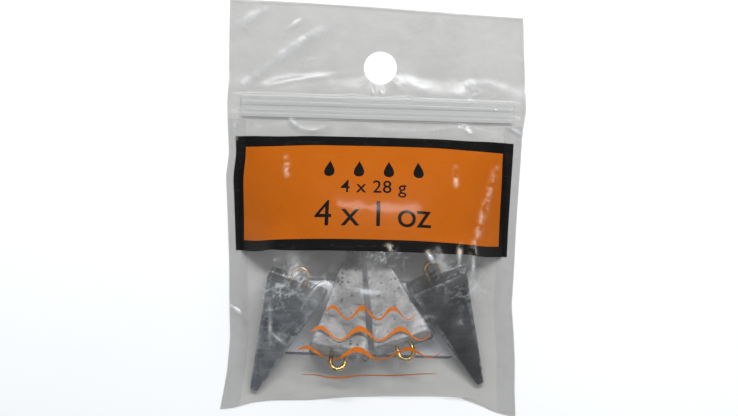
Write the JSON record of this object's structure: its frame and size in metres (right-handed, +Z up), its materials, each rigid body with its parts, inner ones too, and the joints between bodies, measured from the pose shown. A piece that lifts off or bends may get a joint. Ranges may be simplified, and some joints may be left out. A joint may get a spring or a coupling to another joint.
{
  "type": "fishing sinker pack",
  "caption": "Clear press-to-close hang bag lying on its back, holding pyramid lead sinkers with brass line eyes; its mouth opens and each sinker shifts inside.",
  "frame": {"origin": "middle of the pack's footprint, on the surface that it lies on", "axes": "+Y from the folded bottom edge towards the hang hole, +X to the right as the label is read, +Z up out of the printed front film"},
  "size_m": [0.0762, 0.1044, 0.0159],
  "materials": {
    "clear_film": "thin clear polyethylene film, soft wrinkles",
    "zipper_plastic": "clear extruded press-to-close track",
    "orange_ink": "orange ink printed on the film",
    "black_ink": "black ink printed on the film",
    "paper": "plain white sticker, blank",
    "lead": "as-cast lead, dull grey with pits and bright rubbed edges",
    "brass_wire": "drawn brass wire, lightly tarnished"
  },
  "bodies": {
    "bag": {"back_film": "clear_film", "front_film": "clear_film", "zipper_groove": "zipper_plastic", "side_weld_left": "clear_film", "side_weld_right": "clear_film", "label_border": "black_ink", "label_panel": "orange_ink", "label_marks": "black_ink", "front_print": "orange_ink", "back_sticker": "paper"},
    "lip": {"front_lip": "clear_film", "zipper_bead": "zipper_plastic"},
    "lead_left": {"sinker_left": "lead", "eye_left": "brass_wire"},
    "lead_mid_left": {"sinker_mid_left": "lead", "eye_mid_left": "brass_wire"},
    "lead_mid_right": {"sinker_mid_right": "lead", "eye_mid_right": "brass_wire"},
    "lead_right": {"sinker_right": "lead", "eye_right": "brass_wire"}
  },
  "joints": [
    {"name": "mouth_open", "type": "hinge", "parent": "bag", "child": "lip", "pos_m": [0, 0.0184, 0.00483], "axis": [1, 0, 0], "range_deg": [0, 90]},
    {"name": "shift_left", "type": "slide", "parent": "bag", "child": "lead_left", "axis": [0, 1, 0], "range_m": [-0.0005, 0.002]},
    {"name": "shift_mid_left", "type": "slide", "parent": "bag", "child": "lead_mid_left", "axis": [0, 1, 0], "range_m": [-0.002, 0.001]},
    {"name": "shift_mid_right", "type": "slide", "parent": "bag", "child": "lead_mid_right", "axis": [0, 1, 0], "range_m": [-0.002, 0.0004]},
    {"name": "shift_right", "type": "slide", "parent": "bag", "child": "lead_right", "axis": [0, 1, 0], "range_m": [-0.0005, 0.002]}
  ]
}
